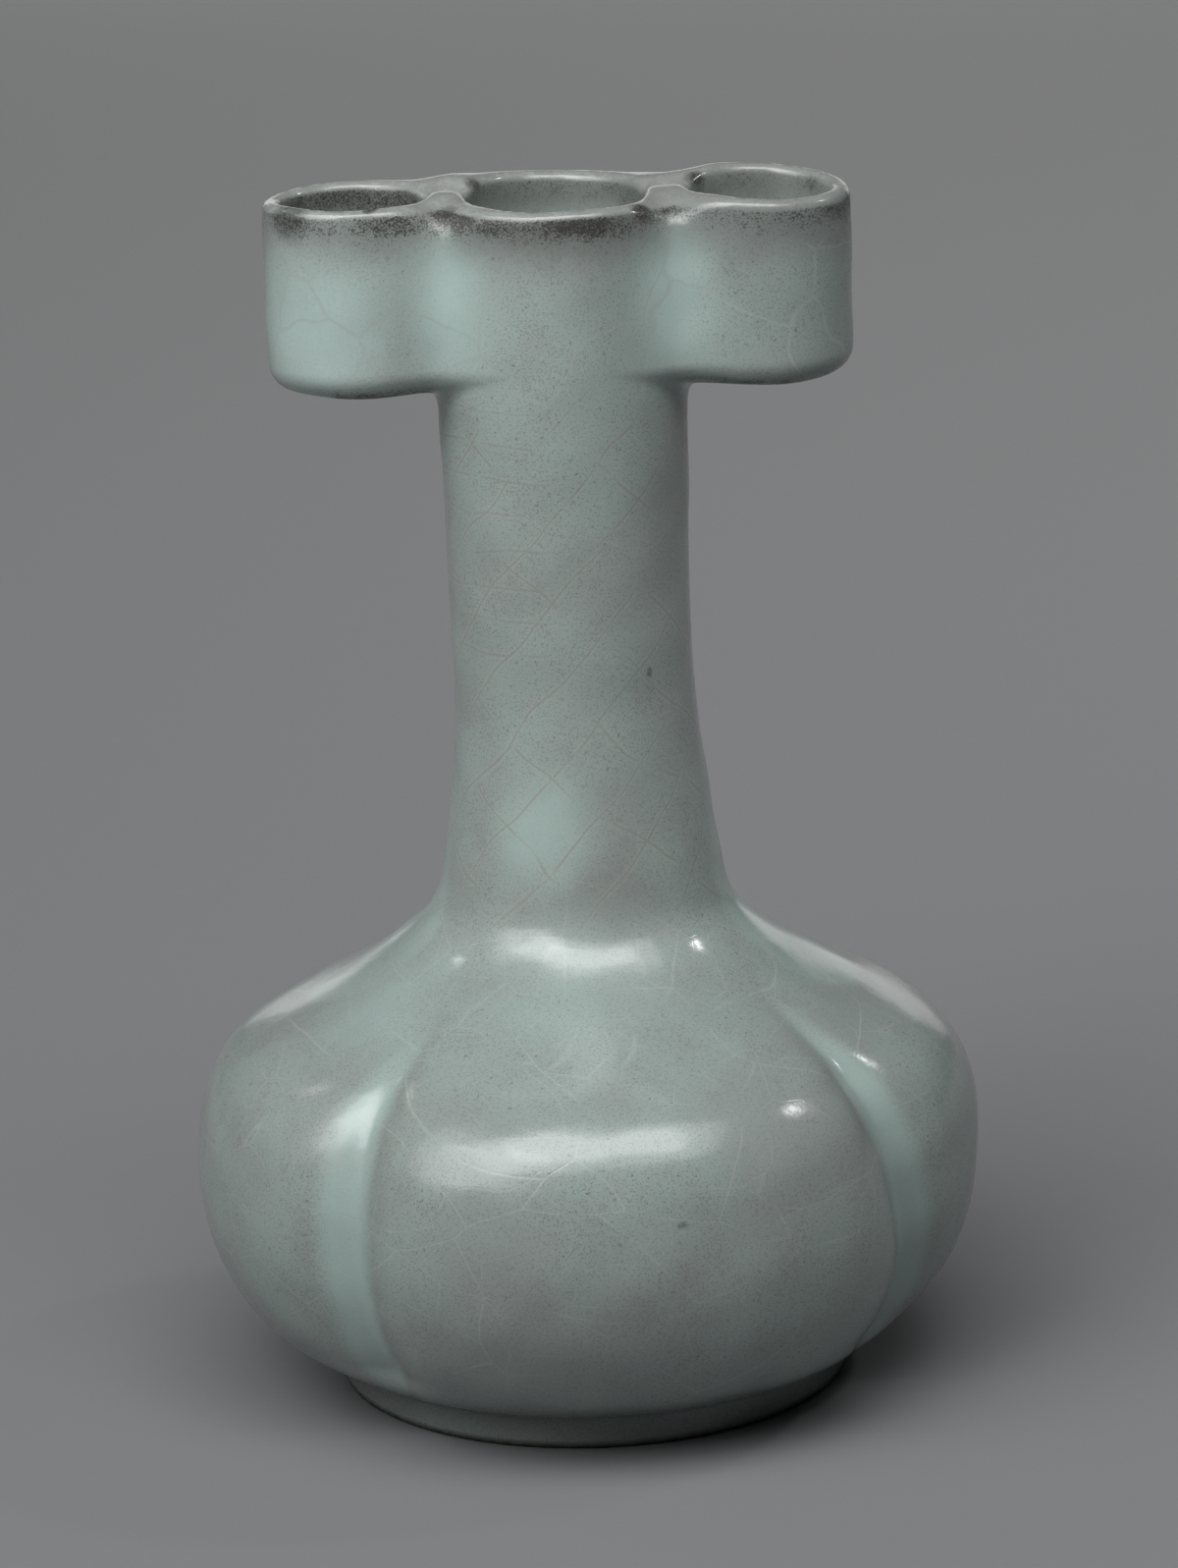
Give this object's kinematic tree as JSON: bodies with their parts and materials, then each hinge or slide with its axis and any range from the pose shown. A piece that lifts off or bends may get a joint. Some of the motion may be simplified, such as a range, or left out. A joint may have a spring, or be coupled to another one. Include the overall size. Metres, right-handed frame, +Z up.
{
  "type": "arrow vase",
  "caption": "Crackle-glazed stoneware arrow vase with a lobed globular body, a low foot ring, a tall waisted neck and tubular lugs level with the mouth.",
  "frame": {"origin": "middle of the plane that the foot ring rests on", "axes": "+Z up along the neck, X along the row of the two lugs, -Y to the front"},
  "size_m": [0.1172, 0.1172, 0.18],
  "materials": {
    "celadon_glaze": "satin grey-green crackle glaze",
    "bare_stoneware": "dark unglazed rim under a glazed outside"
  },
  "bodies": {
    "root": {"foot_ring": "bare_stoneware", "lower_body": "celadon_glaze", "shoulder": "celadon_glaze", "neck": "celadon_glaze", "left_lug_tube": "celadon_glaze", "left_lug_floor": "celadon_glaze", "left_lug_front_coil": "celadon_glaze", "left_lug_back_coil": "celadon_glaze", "right_lug_tube": "celadon_glaze", "right_lug_floor": "celadon_glaze", "right_lug_front_coil": "celadon_glaze", "right_lug_back_coil": "celadon_glaze"}
  },
  "joints": []
}
